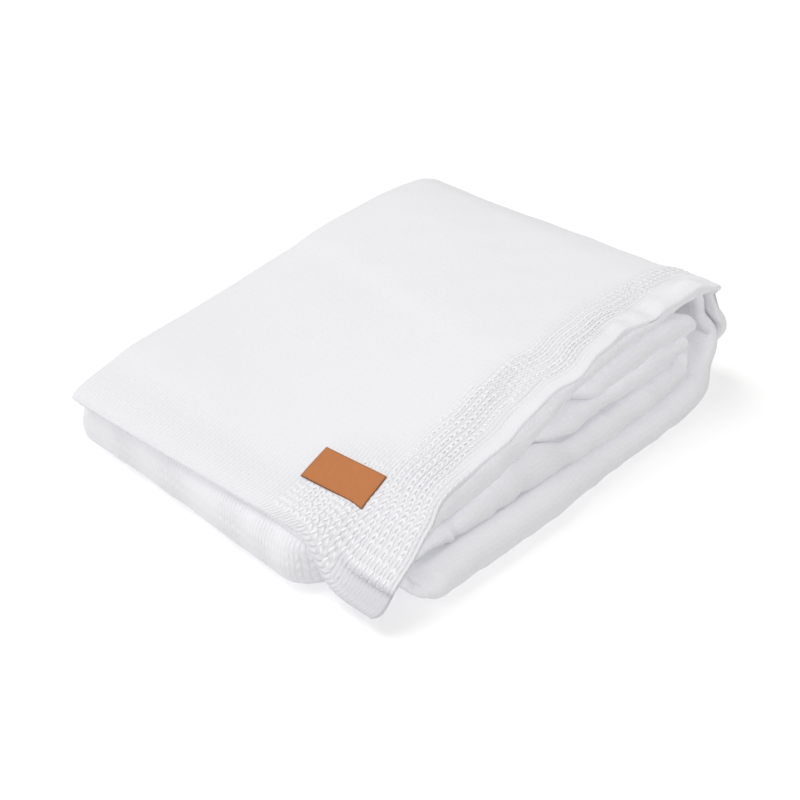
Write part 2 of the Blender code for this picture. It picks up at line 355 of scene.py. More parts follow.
@dataclass
class FoldLine:
    """The line that the bundle of three layers follows, the same as the part's source has.

    near and far are x and z of the line at the near and far ends, in millimetres. lip is how much
    they differ close to the near end alone, up to a depth of reach. press is the bundle's
    thickness as a share of its free one. edge is y of the outer layer's side edge at the near
    end, and fold is y of the near fold of the other two layers. up and down are how far that
    fold swells towards the outer layer and away from it. The line's heading is read over half_step
    rows to each side, and its length over a number of samples.
    """

    cloth: float = 6.0
    layer_step: float = 7.6
    depth: float = 380.0
    origin_x: float = 247.6
    origin_y: float = 181.5
    lip_power: float = 6.0
    half_step: float = 0.04
    samples: int = 6000
    names: tuple[str, ...] = (
        "near_x", "near_z", "far_x", "far_z", "lip_x", "lip_z", "reach", "press",
        "edge", "fold", "up", "down",
    )
    rows: dict[str, tuple[float, ...]] = field(default_factory=lambda: dict(PATH_ROWS))
    columns: dict[str, Array] = field(init=False)
    gaps: Array = field(init=False)

    def __post_init__(self) -> None:
        """Turns the table into columns, and measures how far apart its rows are."""
        table = np.array(list(self.rows.values()), float)
        self.columns = {name: table[:, i] for i, name in enumerate(self.names)}
        near = np.hypot(np.diff(self.columns["near_x"]), np.diff(self.columns["near_z"]))
        far = np.hypot(np.diff(self.columns["far_x"]), np.diff(self.columns["far_z"]))
        self.gaps = (near + far) / 2

    def row(self, name: str) -> int:
        """Returns the number of the named row."""
        return list(self.rows).index(name)

    def along(self, name: str, t: Array) -> Array:
        """A smooth curve with no overshoot through one column.

        Args:
            name: the column.
            t: row numbers, whole or not.

        Returns:
            The column's value at each.
        """
        values, gaps = self.columns[name], self.gaps
        before, after = gaps[:-1], gaps[1:]
        slopes = np.diff(values) / gaps
        rising = slopes[:-1] * slopes[1:] > 0
        first = np.where(rising, slopes[:-1], 1.0)
        second = np.where(rising, slopes[1:], 1.0)
        shares = (2 * after + before) / first + (after + 2 * before) / second
        inner = np.where(rising, 3 * (before + after) / shares, 0.0)
        slopes = np.concatenate([slopes[:1], inner, slopes[-1:]])
        t = np.clip(t, 0.0, len(values) - 1.000001)
        i = np.floor(t).astype(int)
        f = t - i
        h = f * f * (3 - 2 * f)
        bend = f * (1 - f) ** 2 * slopes[i] - f * f * (1 - f) * slopes[i + 1]
        return (1 - h) * values[i] + h * values[i + 1] + gaps[i] * bend

    def line(self, t: Array, y: Array) -> tuple[Array, Array]:
        """The bundle's middle line.

        Args:
            t: row numbers.
            y: depths from the near end, in millimetres.

        Returns:
            x and z there.
        """
        share = np.clip(y / self.depth, 0.0, 1.0)
        share = share * share * (3 - 2 * share)
        lip = np.exp(-((np.maximum(y, 0.0) / self.along("reach", t)) ** self.lip_power))
        x = self.along("near_x", t) * (1 - share) + self.along("far_x", t) * share
        z = self.along("near_z", t) * (1 - share) + self.along("far_z", t) * share
        return x + lip * self.along("lip_x", t), z + lip * self.along("lip_z", t)

    def place(self, t: Array, y: Array, w: Array) -> Array:
        """Points off the line, in the row frame.

        Args:
            t: row numbers.
            y: depths.
            w: distances to the line's left.

        Returns:
            x, y and z of each point, in millimetres.
        """
        t, y, w = np.broadcast_arrays(np.asarray(t, float), np.asarray(y, float), np.asarray(w, float))
        x, z = self.line(t, y)
        xa, za = self.line(t - self.half_step, y)
        xb, zb = self.line(t + self.half_step, y)
        dx, dz = xb - xa, zb - za
        off = w * self.along("press", t) / np.hypot(dx, dz)
        return np.stack([x - off * dz - self.origin_x, y - self.origin_y, z + off * dx], axis=-1)

    def length(self, t: Array, y: float = MIDDLE_MM) -> Array:
        """How far along the cloth each row number lies.

        Args:
            t: row numbers.
            y: the depth at which the line is measured, in millimetres.

        Returns:
            The distances, in millimetres.
        """
        fine = np.linspace(0, len(self.rows) - 1, self.samples)
        x, z = self.line(fine, np.full(len(fine), y))
        run = np.append(0.0, np.cumsum(np.hypot(np.diff(x), np.diff(z))))
        return np.interp(t, fine, run)

    def row_at(self, length: Array, y: float = MIDDLE_MM) -> Array:
        """The row number at each length along the cloth, at one depth."""
        fine = np.linspace(0, len(self.rows) - 1, self.samples)
        return np.interp(length, self.length(fine, y), fine)

    def run_to(self, name: str, y: float = MIDDLE_MM) -> float:
        """How far along the cloth the named row lies, in millimetres, at one depth."""
        return float(self.length(np.array([float(self.row(name))]), y)[0])


PATH_ROWS = {
    "hem": (-2, 57, -13, 60, -1, -43, 72, 0.42, 5, 9, 0, 0),
    "roll": (4, 59.5, -7, 64, -3, -41, 70, 0.52, -2, 5, 0, 0),
    "flap": (14, 61, 5, 68, -3, -30, 66, 0.64, -5, 5, 0, 0),
    "valley": (34, 62.5, 30, 73, 3, -13, 60, 0.74, -4, 6, 0, 0),
    "top_a": (60, 68, 60, 79, 2, -2, 54, 0.88, 0, 8, 0, 8),
    "top_b": (90, 77, 114, 82, -4, 3, 60, 1, 4, 7, 0, 15),
    "top_c": (136, 89, 170, 87, 0, 0, 66, 1, 6, 4, 0, 18),
    "top_d": (180, 99, 220, 93, 0, 0, 66, 1, 7, 3, 0, 15),
    "top_e": (220, 107, 270, 98, 0, 0, 66, 1, 8, 4, 0, 6),
    "top_f": (250, 112, 300, 103, 0, 0, 66, 1, 9, 8, 0, 3),
    "top_g": (290, 115, 340, 106, 0, 3, 66, 1, 9, 9, 0, 2),
    "top_h": (354, 117, 400, 108, 0, 6, 66, 1, 9, 10, 0, 0),
    "top_i": (424, 117, 456, 104, 0, 8, 66, 1, 4, 12, 0, 0),
    "nose": (467, 114, 489, 91, -6, 9, 66, 0.92, -3, 14, 0, 0),
    "notch": (483, 103, 497, 78, -12, 5, 66, 0.92, 10, 16, 0, 0),
    "turn_a": (498, 86, 501, 66, -17, 0, 66, 1, 8, 17, 0, 0),
    "turn_b": (503, 60, 500, 44, -5, 0, 66, 1, 8, 12, 0, 0),
    "turn_c": (484, 31, 487, 22, 0, 0, 66, 1, 28, 4, 3, 4),
    "turn_d": (452, 14, 464, 12, 0, 0, 66, 1, 28, -10, 6, 6),
    "base_a": (400, 10.6, 420, 10.6, 0, 0, 66, 1, 26, -14, 7.6, 6),
    "base_b": (300, 10.6, 320, 10.6, 0, 0, 66, 1, 26, -14, 7.6, 7),
    "base_c": (200, 10.6, 210, 10.6, 0, 0, 66, 1, 24, -20, 7.6, 15),
    "base_d": (116, 10.6, 100, 10.6, 0, 0, 66, 1, 24, -18, 7.6, 15),
    "base_e": (46, 10.6, 40, 10.6, 18, 0, 66, 0.98, 28, -16, 7, 11),
    "left_a": (0, 10.7, 15, 10.7, 50, 0, 74, 0.86, 32, -8, 2, 0),
    "left_b": (-10.5, 15, 3, 15, 52, 0, 74, 0.7, 30, 2, 0, 0),
    "left_c": (-14.5, 27, 0, 28, 54, -3, 74, 0.7, 30, 10, 0, 0),
    "left_d": (-11, 39.5, 3, 42, 55, -6, 74, 0.7, 34, 20, 0, 0),
    "left_e": (0, 43.5, 13, 48, 52, -7, 74, 0.8, 38, 17, 0, 0),
    "low_a": (46, 38, 56, 46, 38, -4, 74, 0.96, 39, 8, 12, -9),
    "low_b": (112, 34.4, 110, 38, 0, 1, 66, 1, 42, 2, 16, -9),
    "low_c": (172, 34.4, 172, 34, 0, 0, 66, 1, 42, -2, 31, -9),
    "low_d": (216, 34.4, 236, 34, 0, 0, 66, 1, 42, -3, 31, -8),
    "low_e": (262, 34.4, 300, 34, 0, 5, 66, 1, 40, -4, 13, -4),
    "low_f": (320, 34.4, 350, 34, 0, 10.6, 66, 1, 34, -4, 7, 3.6),
    "low_g": (386, 34.4, 404, 34, 0, 10.6, 66, 1, 34, -2, 7, 3.6),
    "inner_a": (432, 34.6, 448, 34.6, 0, 11.4, 66, 0.86, 36, 2, 3, 2),
    "inner_b": (440.2, 38, 456.2, 38, 0, 12, 66, 0.72, 36, 8, 1, 1),
    "inner_c": (443.6, 46, 459.6, 46, 0, 12, 66, 0.68, 36, 12, 1, 1),
    "inner_d": (440.2, 54, 456.2, 54, 0, 12, 66, 0.72, 36, 10, 1, 1),
    "inner_e": (432, 57.4, 448, 57.4, 0, 12, 66, 0.86, 36, 5, 3, 2),
    "mid_a": (386, 57.4, 412, 57.4, 0, 12, 66, 1, 34, 2, 6, 4),
    "mid_b": (324, 57.2, 384, 57.2, 0, 10, 66, 1, 36, 6, 4, 1),
    "mid_c": (292, 57.2, 360, 57.2, 0, 9, 66, 1, 36, 8, 0, 0),
    "mid_d": (262, 57.2, 340, 57.2, 0, 9.6, 66, 0.95, 32, 4, 5, 1),
    "mid_e": (236, 57.2, 318, 57.2, 0, 11, 66, 0.85, 30, 9, 4, 0),
    "back_a": (211, 57.3, 298, 57.3, 0, 11, 66, 0.7, 34, 20, 0, 0),
    "back_b": (203, 60.5, 290, 60.5, 0, 10.5, 66, 0.62, 36, 24, 0, 0),
    "back_c": (199.8, 68.5, 286.8, 68.5, 0, 9, 66, 0.6, 37, 25, 0, 0),
    "back_d": (203, 76.5, 290, 76.5, 0, 7.5, 66, 0.62, 38, 26, 0, 0),
    "back_e": (211, 79.7, 298, 79.7, 0, 6.8, 66, 0.7, 38, 24, 0, 0),
    "high_a": (238, 79.8, 318, 79.8, 0, 8.5, 66, 0.85, 36, 18, 0, 0),
    "hollow": (264, 79.8, 336, 79.8, 0, 11, 66, 1, 40, 30, 0, 0),
    "lump": (292, 79.8, 354, 79.8, 0, 13, 66, 1, 38, 8, 1, 4),
    "high_b": (324, 79.8, 380, 79.8, 0, 17, 66, 1, 34, 6, 4, 6),
    "high_c": (392, 79.8, 418, 79.8, 0, 19.6, 66, 1, 34, 6, 5, 3),
    "droop": (434, 79.2, 444, 79, 0, 17.6, 66, 1, 34, 4, 4, 2),
    "end": (452, 77, 460, 77, 0, 11, 66, 0.9, 36, 8, 2, 0),
}


@dataclass
class KnittedCloth:
    """The cloth itself, folded in thirds across and over and over along, with its knit.

    Below, s is the distance along the cloth from its hem and v the distance across it from its
    selvedge, both in millimetres.
    """

    line: FoldLine
    finish: CottonKnit = CottonKnit()
    name: str = "knitted_bedspread"
    hem_mm: float = 18.0
    welt_mm: float = 1.5
    seam_mm: float = 2.2
    border_mm: float = 64.0
    rib_deep_mm: float = 1.05
    roll_mm: float = 4.6
    lip_mm: float = 3.2
    up_reach: float = 11.0
    down_reach: float = 14.0
    shift_reach: float = 54.0
    # How far apart the mesh's points are: across the border, along the corner, the top, the lower
    # left turn and the rest, and how many more each radian of bend gets.
    fine_mm: float = 2.4
    corner_mm: float = 3.0
    top_mm: float = 4.6
    turn_mm: float = 4.1
    plain_mm: float = 12.0
    bend_cost: float = 3.0
    # The corner's length, the turn's middle past its first row, and half the turn's length.
    corner_run: float = 130.0
    turn_past: float = 45.0
    turn_half: float = 60.0
    # The depth at which stations are measured, those at which bends are, and how finely.
    station_depth: float = 60.0
    bend_depths: tuple[float, ...] = (0.0, 130.0, 380.0)
    samples: int = 9000
    # Steps across: round the selvedge's lip, how far the fine ones reach and how many lie past
    # them, and the inner layers' wider ones.
    lip_steps: tuple[float, ...] = (-3.0, -2.8, -2.2, -1.2)
    fine_reach: float = 66.0
    far_steps: int = 37
    inner_mm: float = 3.0
    inner_far: tuple[float, ...] = (34.0, 42.0, 54.0, 80.0, 130.0, 240.0)
    # The first stations, close together where the hem's edge is round.
    hem_stations: tuple[float, ...] = (0.0, 0.3, 0.9, 1.8, 3.0)
    # v at the outer layer's far end and at the near fold, and s where the selvedge starts to roll.
    outer_end: float = 376.0
    near_fold: float = 742.0
    roll_from: float = 300.0
    # How deep the knit is on the flat top, along the front, at the lower left turn and in the
    # near fold, as shares of its depth in the border.
    plain_depth: float = 0.14
    front_depth: float = 0.4
    turn_depth: float = 0.22
    fold_depth: float = 0.22
    # How far the front corner's coarse knit, the front's faint one and the hem's corner reach.
    corner_reach: float = 100.0
    front_reach: float = 60.0
    hem_corner: float = 50.0
    sways: tuple[Wave, ...] = (Wave(1.1, 31, start=0.4), Wave(0.7, 13.3, start=1.9))
    ripples: tuple[Wave, ...] = (Wave(2.0, 17.5, start=0.8), Wave(1.1, 8.3, start=2.1))
    rumples: tuple[Wave, ...] = (Wave(0.55, 43, 61), Wave(0.45, 27, -35, 2.0), Wave(0.3, 12.1, 9.4, 0.7))
    # Depths at which the lower left turn's ribs stand out in bunches, and half each bunch's width.
    bunches_mm: tuple[tuple[float, float], ...] = ((79, 17), (121, 13), (163, 21), (248, 24), (317, 17))

    def depths(self, steps: Array, first: Array) -> Array:
        """Depths of a layer's points, the near ones moved with its near edge."""
        return steps + first[:, None] * np.clip(1 - steps / self.shift_reach, 0.0, 1.0)

    def stations(self) -> Array:
        """Places the stations: close at the hem and corner, and where the line bends.

        Returns:
            Their row numbers.
        """
        line, depth = self.line, self.station_depth
        fine = np.linspace(0, len(line.rows) - 1, self.samples)
        run = line.length(fine, depth)
        cost = np.zeros(len(fine))
        for y in self.bend_depths:
            x, z = line.line(fine, np.full(len(fine), y))
            heading = np.unwrap(np.arctan2(np.diff(z), np.diff(x)))
            cost[1:] += np.cumsum(np.append(np.abs(np.diff(heading)), 0.0) * self.bend_cost)
        on_top = run < line.run_to("turn_a", depth)
        pace = np.where(run < self.corner_run, self.corner_mm, np.where(on_top, self.top_mm, self.plain_mm))
        in_turn = np.abs(run - line.run_to("left_a", depth) - self.turn_past) < self.turn_half
        pace = np.where(in_turn, self.turn_mm, pace)
        cost[1:] += np.cumsum(np.diff(run) / pace[1:])
        rows = np.interp(np.linspace(0, cost[-1], int(cost[-1]) + 1), cost, fine)
        rounding = line.row_at(np.array(self.hem_stations), depth)
        return np.concatenate([rounding, rows[rows > rounding[-1] + 0.02]])

    def centre(self, rows: Array) -> tuple[Array, Array, Array]:
        """The strip's centre line at each station.

        Args:
            rows: the stations' row numbers.

        Returns:
            y, w and the distance across the cloth, one row for each station.
        """
        line = self.line
        edge, fold, up, down = (line.along(n, rows) for n in ("edge", "fold", "up", "down"))
        step, half = line.layer_step, line.cloth / 2
        far = line.depth - step / 2
        near = np.concatenate([self.lip_steps, np.arange(0, self.fine_reach, self.fine_mm)])
        outer_steps = np.concatenate([near, np.linspace(self.fine_reach, far, self.far_steps)])
        inner_steps = np.concatenate([np.arange(0, 30, self.inner_mm), self.inner_far, [far]])
        outer_y = self.depths(outer_steps, edge + self.ripple(rows) + half)
        nose = (up + step + down) / 2
        start = fold + half + nose
        inner_y = self.depths(inner_steps, start)
        swell = inner_y - start[:, None]
        middle_w = up[:, None] * hill(swell, 0, self.up_reach)
        lower_w = -step - down[:, None] * hill(swell, 0, self.down_reach)
        turn = np.radians([30.0, 60.0, 90.0, 120.0, 150.0])
        one = np.ones(len(rows))[:, None]
        far_y = one * (far + np.sin(turn) * step / 2)
        far_w = one * (step / 2 + np.cos(turn) * step / 2)
        turn = np.radians(np.linspace(15.0, 165.0, 11))
        near_y = start[:, None] - np.sin(turn) * nose[:, None]
        near_w = up[:, None] - nose[:, None] + np.cos(turn) * nose[:, None]
        y = np.concatenate([outer_y, far_y, inner_y[:, ::-1], near_y, inner_y], axis=1)
        outer_w = np.full(outer_y.shape, step)
        w = np.concatenate([outer_w, far_w, middle_w[:, ::-1], near_w, lower_w], axis=1)
        run = np.hypot(np.diff(y, axis=1), np.diff(w, axis=1))
        across = np.concatenate([np.zeros((len(rows), 1)), np.cumsum(run, axis=1)], axis=1)
        return y, w, across

    def knit_depth(self, s: Array, v: Array) -> Array:
        """How strongly the knit stands out, from 0 to 1.

        Args:
            s: distance along the cloth from its hem, in millimetres.
            v: distance across it from its selvedge.

        Returns:
            The share, deep in the border and the corner and faint on the flat top.
        """
        border = before(v, self.border_mm, 5)
        # The selvedge's own rolled strip is smoother than the ribs beside it, but for the corner.
        strip = 14 + 14 * ramp(s, self.roll_from, 130)
        border *= 1 - 0.75 * before(v, strip, 2.5) * past(s, 95, 12)
        corner = before(np.hypot(s / 1.25, v / 1.35), self.corner_reach, 14)
        front = self.front_depth * before(s, self.front_reach, 14)
        bunches = [hill(v, at - 30, half) for at, half in self.bunches_mm]
        turn = hill(s, self.turn_run(), 62, 4)
        turn = turn * (self.turn_depth + 0.5 * np.maximum.reduce(bunches))
        nose = self.fold_depth * hill(v, self.near_fold, 60, 4)
        # The ropes sink and rise along the border, so some runs are nearly smooth.
        worn = 0.5 + Wave(0.5, 37, start=0.6).at(s, 0.0, 1.7 * np.sin(v / 11))
        border = border * (1 - 0.42 * worn * past(s, 110, 14))
        border = border * (1 - 0.22 * ramp(s, 330, 100))
        # The hem is turned under and sewn flat, so its knit is fainter.
        flat = 1 - 0.7 * before(s, self.hem_mm, 1.2) * before(v, self.hem_corner, 7)
        plain = self.plain_depth + 0 * s
        return np.clip(np.maximum.reduce([plain, border, corner, front, turn, nose]) * flat, 0, 1)

    def seam_line(self, s: Array) -> Array:
        """How near each point lies to the line along which the hem is sewn."""
        return hill(s, self.hem_mm + 1.0, 1.5)

    def hem_painted_shade(self, s: Array, v: Array) -> Array:
        """How much painted shade each point gets: some over the sewn hem's front corner, and more along its
        seam line.
        """
        band = 0.75 * before(s, self.hem_mm, 0.6)
        return (band + 1.4 * self.seam_line(s)) * before(v, self.hem_corner, 7)

    def sway(self, s: Array) -> Array:
        """How far the ribs sway to the side, in millimetres, at each distance along the cloth."""
        return sum(wave.at(s) for wave in self.sways)

    def ripple(self, rows: Array) -> Array:
        """How far the top's side edge waves in and out.

        Args:
            rows: row numbers.

        Returns:
            The edge's move at each, in millimetres.
        """
        s = self.line.length(rows)
        here = past(s, 70, 12) * before(s, self.line.run_to("turn_a"), 14)
        rise = 0.5 + 0.5 * ramp(s, 150, 330)
        crumple = 1.0 + 0.9 * hill(s, 300, 70)
        return here * rise * crumple * sum(wave.at(s) for wave in self.ripples)

    def turn_run(self) -> float:
        """The distance along the cloth at the middle of the lower left turn."""
        return self.line.run_to("left_c", 190.0)

    def relief(self, s: Array, v: Array, side: Side) -> Array:
        """How far the face stands out from a plain sheet of cloth, in millimetres.

        Args:
            s: distance along the cloth.
            v: distance across it.
            side: which face.

        Returns:
            The height at each point.
        """
        outer = before(v, self.line.depth, 4)
        border = hill(v, 0, 70, 6) * outer
        # The selvedge is bunched, and towards its far end it rolls up on itself in uneven puckers.
        wild = ramp(s, self.roll_from, 130)
        waves = Wave(1.0, 17.5, 13, 0.8).at(s, v) * (1 + Wave(0.5, 6.1, start=1.3).at(s))
        bunch = (0.9 + 1.1 * wild) * waves * np.exp(-v / (18 + 12 * wild)) * border
        late = ramp(s, self.roll_from, 100)
        pucker = 0.75 + Wave(0.42, 5.5, 17).at(s, v, 2.0 * np.sin(s / 29)) + Wave(0.24, 13, -9).at(s, v)
        bunch = bunch + self.roll_mm * late * pucker * hill(v, 9 + 4 * late, 7 + 3 * late) * border
        if side is Side.WRONG:
            # Only the selvedge that overhangs has room below it, and only a near fold's outside shows.
            return bunch * self.overhang(s, v) + self.crease(s, v)
        pleat = -1.5 * hill(v, 17 + 4 * np.sin(s / 38), 2.2) * ramp(s, 95, 40)
        pleat *= np.clip(0.4 + np.sin(s / 29 + 1.0), 0, 1)
        rumple = 0.8 * sum(wave.at(s, v) for wave in self.rumples)
        near = 0.12 + 0.88 * before(v, 44, 6)
        fade = ramp(s, 0, 4)
        hem = hill(s, self.hem_mm / 2, self.hem_mm * 0.42, 4) * self.welt_mm * near
        seam = -self.seam_mm * self.seam_line(s) * near
        ribs = self.rib_deep_mm * np.cos((v + self.sway(s)) / self.finish.rib_mm * math.tau)
        ribs *= self.knit_depth(s, v) * outer * fade * (1 - near * hill(s, 0, self.hem_mm, 8))
        return ribs + bunch + pleat * border + rumple + (hem + seam) * fade

    def crease(self, s: Array, v: Array) -> Array:
        """How far the near folds' small creases stand out, the inner folds' the most.

        Args:
            s: distance along the cloth.
            v: distance across it.

        Returns:
            The height at each point, in millimetres.
        """
        long = Wave(0.8, 9.5).at(s, v, 0.9 * np.sin(v / 12)) * np.sin(s / 41 + 0.5)
        inner = 1 + 1.3 * past(s, self.turn_run() + 40, 20)
        return hill(v, self.near_fold, 46, 4) * (long + Wave(0.5, 5.2, 17).at(s, v)) * inner

    def rounding(self, s: Array, v: Array, total: Array) -> Array:
        """Thins the cloth to a round lip at its hem and side edges.

        Args:
            s: distance along the cloth.
            v: distance across it.
            total: the cloth's whole length across.

        Returns:
            The cloth's thickness as a share, at each point.
        """
        ends = [np.clip(d / self.lip_mm, 0.0, 1.0) for d in (v, total - v, s)]
        shares = [np.sqrt(np.maximum(1 - (1 - e) ** 2, 0.0)) for e in ends]
        return np.maximum(shares[0] * shares[1] * shares[2], 0.06)

    def faces(self, rows: Array) -> tuple[Array, Array, Array, Array]:
        """The cloth's two faces as grids of points.

        Args:
            rows: the stations' row numbers.

        Returns:
            The right face's points, the wrong face's, and the distances along and across.
        """
        y, w, across = self.centre(rows)
        dy, dw = np.gradient(y, axis=1), np.gradient(w, axis=1)
        size = np.hypot(dy, dw)
        s = self.line.length(rows)[:, None] * np.ones(y.shape)
        half = self.line.cloth / 2 * self.rounding(s, across, across[:, -1:])
        t = rows[:, None] * np.ones(y.shape)
        grids = []
        for side in (Side.RIGHT, Side.WRONG):
            off = side.value * (half + self.calm(s, across, side) * self.relief(s, across, side))
            grids.append(self.line.place(t, y - off * dw / size, w + off * dy / size))
        return grids[0], grids[1], s, across

    def overhang(self, s: Array, v: Array) -> Array:
        """How far each point lies on the part of the selvedge that stands out past the layer below."""
        t = self.line.row_at(s)
        return before(v, self.line.along("fold", t) - self.line.along("edge", t) - 4, 1.5)

    def calm(self, s: Array, v: Array, side: Side) -> Array:
        """Fades the relief out where it has no room: between the layers and on the ground.

        Args:
            s: distance along the cloth.
            v: distance across it.
            side: which face.

        Returns:
            The share of the relief that stays.
        """
        outer = hill(v, 0, self.outer_end, 30)
        nose = hill(v, self.near_fold, 34, 4) * (side is Side.WRONG)
        down, up = self.line.run_to("turn_d"), self.line.run_to("base_e")
        ground = past(s, down + 10, 8) * before(s, up + 14, 8)
        inside = past(s, up + 95, 12)
        return np.maximum(outer * (1 - 0.96 * ground) * (1 - 0.8 * inside), 0.8 * nose)

    def mesh(self) -> bpy.types.Mesh:
        """Builds the cloth as one closed mesh, with its own coordinates and knit depth.

        Returns:
            The mesh.
        """
        rows = self.stations()
        right, wrong, s, across = self.faces(rows)
        count, width = right.shape[:2]
        points = np.concatenate([right, wrong[:, ::-1]], axis=1).reshape(-1, 3) * MM
        along = np.concatenate([s, s], axis=1).reshape(-1)
        over = np.concatenate([across, across[:, ::-1]], axis=1).reshape(-1)
        total = 2 * width
        i, j = np.meshgrid(np.arange(count - 1), np.arange(total), indexing="ij")
        k = (j + 1) % total
        here, after = i * total, (i + 1) * total
        quads = np.stack([here + j, after + j, after + k, here + k], axis=-1).reshape(-1, 4)
        a = np.arange(width - 1)
        cap = np.stack([a, a + 1, total - 2 - a, total - 1 - a], axis=-1)
        last = (count - 1) * total + cap[:, ::-1]
        faces = np.concatenate([quads, cap, last])
        data = bpy.data.meshes.new(self.name)
        data.from_pydata(points.tolist(), [], faces.tolist())
        data.validate()
        layer = data.uv_layers.new(name="cloth")
        corners = np.empty(len(data.loops), np.int32)
        data.loops.foreach_get("vertex_index", corners)
        layer.data.foreach_set("uv", np.stack([along[corners], over[corners]], axis=-1).ravel() * MM)
        # Besides the knit's depth, each point carries the mask of the hem's painted shade.
        for name, share in (("knit_depth", self.knit_depth), ("hem_painted_shade", self.hem_painted_shade)):
            data.attributes.new(name, "FLOAT", "POINT").data.foreach_set("value", share(along, over))
        data.polygons.foreach_set("use_smooth", [True] * len(data.polygons))
        LOG.info("cloth: %d stations, %d points round, %d faces", count, total, len(data.polygons))
        return data

    def build(self) -> bpy.types.Object:
        """Makes the cloth's object and dresses it."""
        return place_object(self.name, self.mesh(), self.finish.material("cotton_knit"))

    def on_top(self, s: Array, y: Array, lift: float) -> Array:
        """Points on the outer layer's right face.

        Args:
            s: distances along the cloth.
            y: depths from the near end.
            lift: how far above the face, in millimetres.

        Returns:
            x, y and z of each point, in millimetres.
        """
        s, y = np.broadcast_arrays(np.asarray(s, float), np.asarray(y, float))
        t = self.line.row_at(s)
        edge = self.line.along("edge", t) + self.ripple(t)
        v = y - edge - self.line.cloth / 2
        height = self.line.layer_step + self.line.cloth / 2
        height = height + self.calm(s, v, Side.RIGHT) * self.relief(s, v, Side.RIGHT) + lift
        return self.line.place(t, y, height)


def place_object(
    name: str, data: bpy.types.Mesh, material: bpy.types.Material | None = None
) -> bpy.types.Object:
    """Puts a mesh in the scene as an object at the origin.

    Args:
        name: the object's name.
        data: its mesh.
        material: what it is made of, unless its mesh has that already.

    Returns:
        The object.
    """
    if material:
        data.materials.append(material)
    made = bpy.data.objects.new(name, data)
    bpy.context.scene.collection.objects.link(made)
    return made


@dataclass
class LeatherPatch:
    """The tan leather patch sewn on near the front corner, its face left plain."""

    cloth: KnittedCloth
    finish: TannedLeather = TannedLeather()
    name: str = "leather_patch_face"
    long_mm: float = 68.0
    short_mm: float = 36.5
    turn_deg: float = 5.3
    thick_mm: float = 1.6
    lift_mm: float = 1.1
    bevel_mm: float = 0.45
    centre_x: float = 59.0
    centre_y: float = 96.0
    cells_long: int = 68
    cells_short: int = 36
    burn_mm: float = 0.45

    def surface(self, u: Array, v: Array, h: Array) -> Array:
        """Points of the patch over the cloth, in metres.

        Args:
            u: distance along its long side from the middle.
            v: distance along its short side.
            h: height over its underside.

        Returns:
            x, y and z of each point.
        """
        line = self.cloth.line
        turn = math.radians(self.turn_deg)
        y = self.centre_y + u * math.cos(turn) + v * math.sin(turn)
        over = v * math.cos(turn) - u * math.sin(turn)
        rows = np.linspace(0, 9, 700)
        x, z = line.line(np.broadcast_to(rows, (y.size, rows.size)), y.reshape(-1, 1))
        steps = np.hypot(np.diff(x, axis=1), np.diff(z, axis=1))
        run = np.concatenate([np.zeros((y.size, 1)), np.cumsum(steps, axis=1)], axis=1)
        starts = [np.interp(self.centre_x, *pair) for pair in zip(x, run)]
        t = [np.interp(o + start, r, rows) for o, start, r in zip(over.ravel(), starts, run)]
        height = line.layer_step + line.cloth / 2 + self.lift_mm + h
        return line.place(np.reshape(t, y.shape), y, height) * MM

    def mesh(self) -> bpy.types.Mesh:
        """Builds the patch as a thin closed sheet with eased, heat-darkened edges.

        Returns:
            The mesh.
        """
        ease = self.bevel_mm
        grids = []
        for half, cells in ((self.long_mm / 2, self.cells_long), (self.short_mm / 2, self.cells_short)):
            flat = np.linspace(-half + ease, half - ease, cells + 1)
            grids.append(np.concatenate([[-half], flat, [half]]))
        uu, vv = np.meshgrid(*grids)
        inset = np.minimum(self.long_mm / 2 - np.abs(uu), self.short_mm / 2 - np.abs(vv))
        top = self.thick_mm - ease * (inset < 1e-6)
        grids = [self.surface(uu, vv, 0 * uu), self.surface(uu, vv, top)]
        nv, nu = uu.shape
        points = np.concatenate([g.reshape(-1, 3) for g in grids])
        index = np.arange(nv * nu).reshape(nv, nu)
        cell = np.stack([index[:-1, :-1], index[1:, :-1], index[1:, 1:], index[:-1, 1:]], axis=-1)
        cell = cell.reshape(-1, 4)
        rim = np.concatenate([index[0, :-1], index[:-1, -1], index[-1, :0:-1], index[:0:-1, 0]])
        after = np.roll(rim, -1)
        count = nv * nu
        side = np.stack([rim, after, after + count, rim + count], axis=-1)
        faces = np.concatenate([cell, cell[:, ::-1] + count, side])
        data = bpy.data.meshes.new(self.name)
        data.from_pydata(points.tolist(), [], faces.tolist())
        burn = data.attributes.new("burn", "FLOAT", "POINT")
        edge = np.exp(-inset / self.burn_mm)
        burn.data.foreach_set("value", np.concatenate([np.ones(count), edge.ravel()]))
        data.polygons.foreach_set("use_smooth", [True] * len(data.polygons))
        return data

    def build(self) -> bpy.types.Object:
        """Makes the patch's object and dresses it."""
        return place_object(self.name, self.mesh(), self.finish.material("tanned_leather"))


